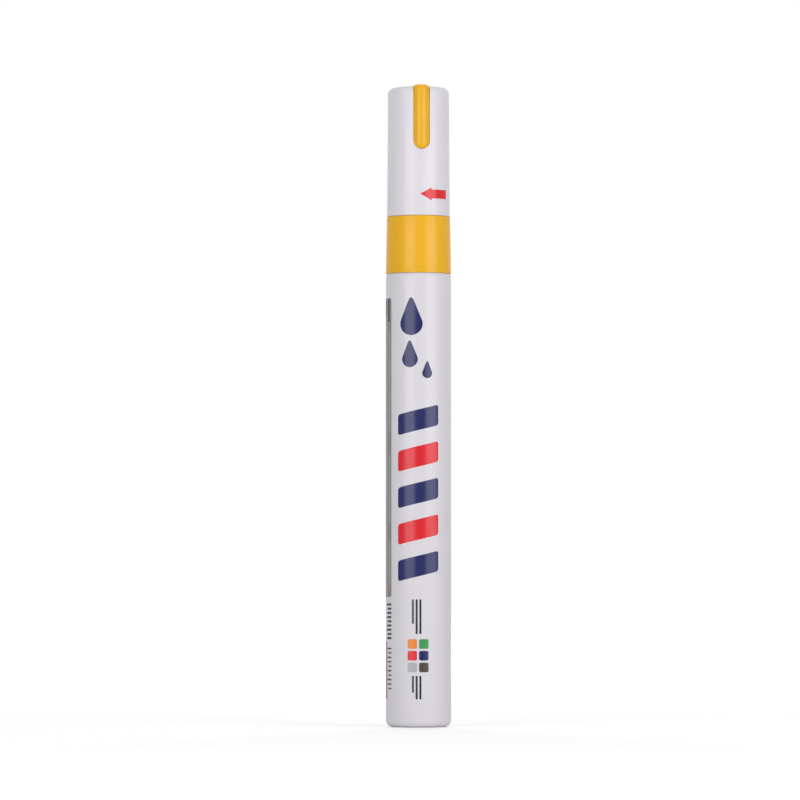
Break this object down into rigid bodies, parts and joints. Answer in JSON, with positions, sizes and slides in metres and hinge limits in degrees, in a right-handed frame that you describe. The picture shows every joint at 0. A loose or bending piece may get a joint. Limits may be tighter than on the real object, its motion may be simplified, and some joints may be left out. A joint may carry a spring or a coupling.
{
  "type": "touch-up paint pen",
  "caption": "Slim capped paint pen with a pump valve: an enamelled barrel, a coloured collar, a sprung felt nib and a pull-off cap with a colour insert.",
  "frame": {"origin": "centre of the flat foot ring that the pen stands on", "axes": "+Z along the pen's axis from the foot to the cap, and the printed front faces -Y"},
  "size_m": [0.014, 0.0142, 0.1374],
  "materials": {
    "white_enamel": "glossy baked enamel on drawn aluminium",
    "white_plastic": "semi-gloss injection-moulded polypropylene",
    "yellow_plastic": "semi-gloss injection-moulded polypropylene",
    "natural_plastic": "unpigmented polypropylene, slightly translucent",
    "felt": "bonded acrylic fibre, dry and unused",
    "steel": "polished stainless steel",
    "printed_ink": "screen-printed ink, colours vary by print"
  },
  "bodies": {
    "barrel": {"barrel": "white_enamel", "front_section": "yellow_plastic", "valve_seat": "natural_plastic", "valve_cage": "natural_plastic", "valve_spring": "steel"},
    "nib_plunger": {"nib": "felt", "valve_stem": "natural_plastic"},
    "cap": {"cap_shell": "white_plastic", "colour_insert": "yellow_plastic", "cap_liner": "natural_plastic"},
    "mixing_ball": {"mixing_ball": "steel"}
  },
  "joints": [
    {"name": "nib_press", "type": "slide", "parent": "barrel", "child": "nib_plunger", "axis": [0, 0, -1], "range_m": [0, 0.0016], "stiffness_N_per_m": 350, "springref_m": -0.003, "deforming": ["valve_spring"]},
    {"name": "cap_pull", "type": "slide", "parent": "barrel", "child": "cap", "axis": [0, 0, 1], "range_m": [0, 0.03]},
    {"name": "ball_rattle", "type": "slide", "parent": "barrel", "child": "mixing_ball", "axis": [0, 0, 1], "range_m": [0, 0.0697]}
  ]
}
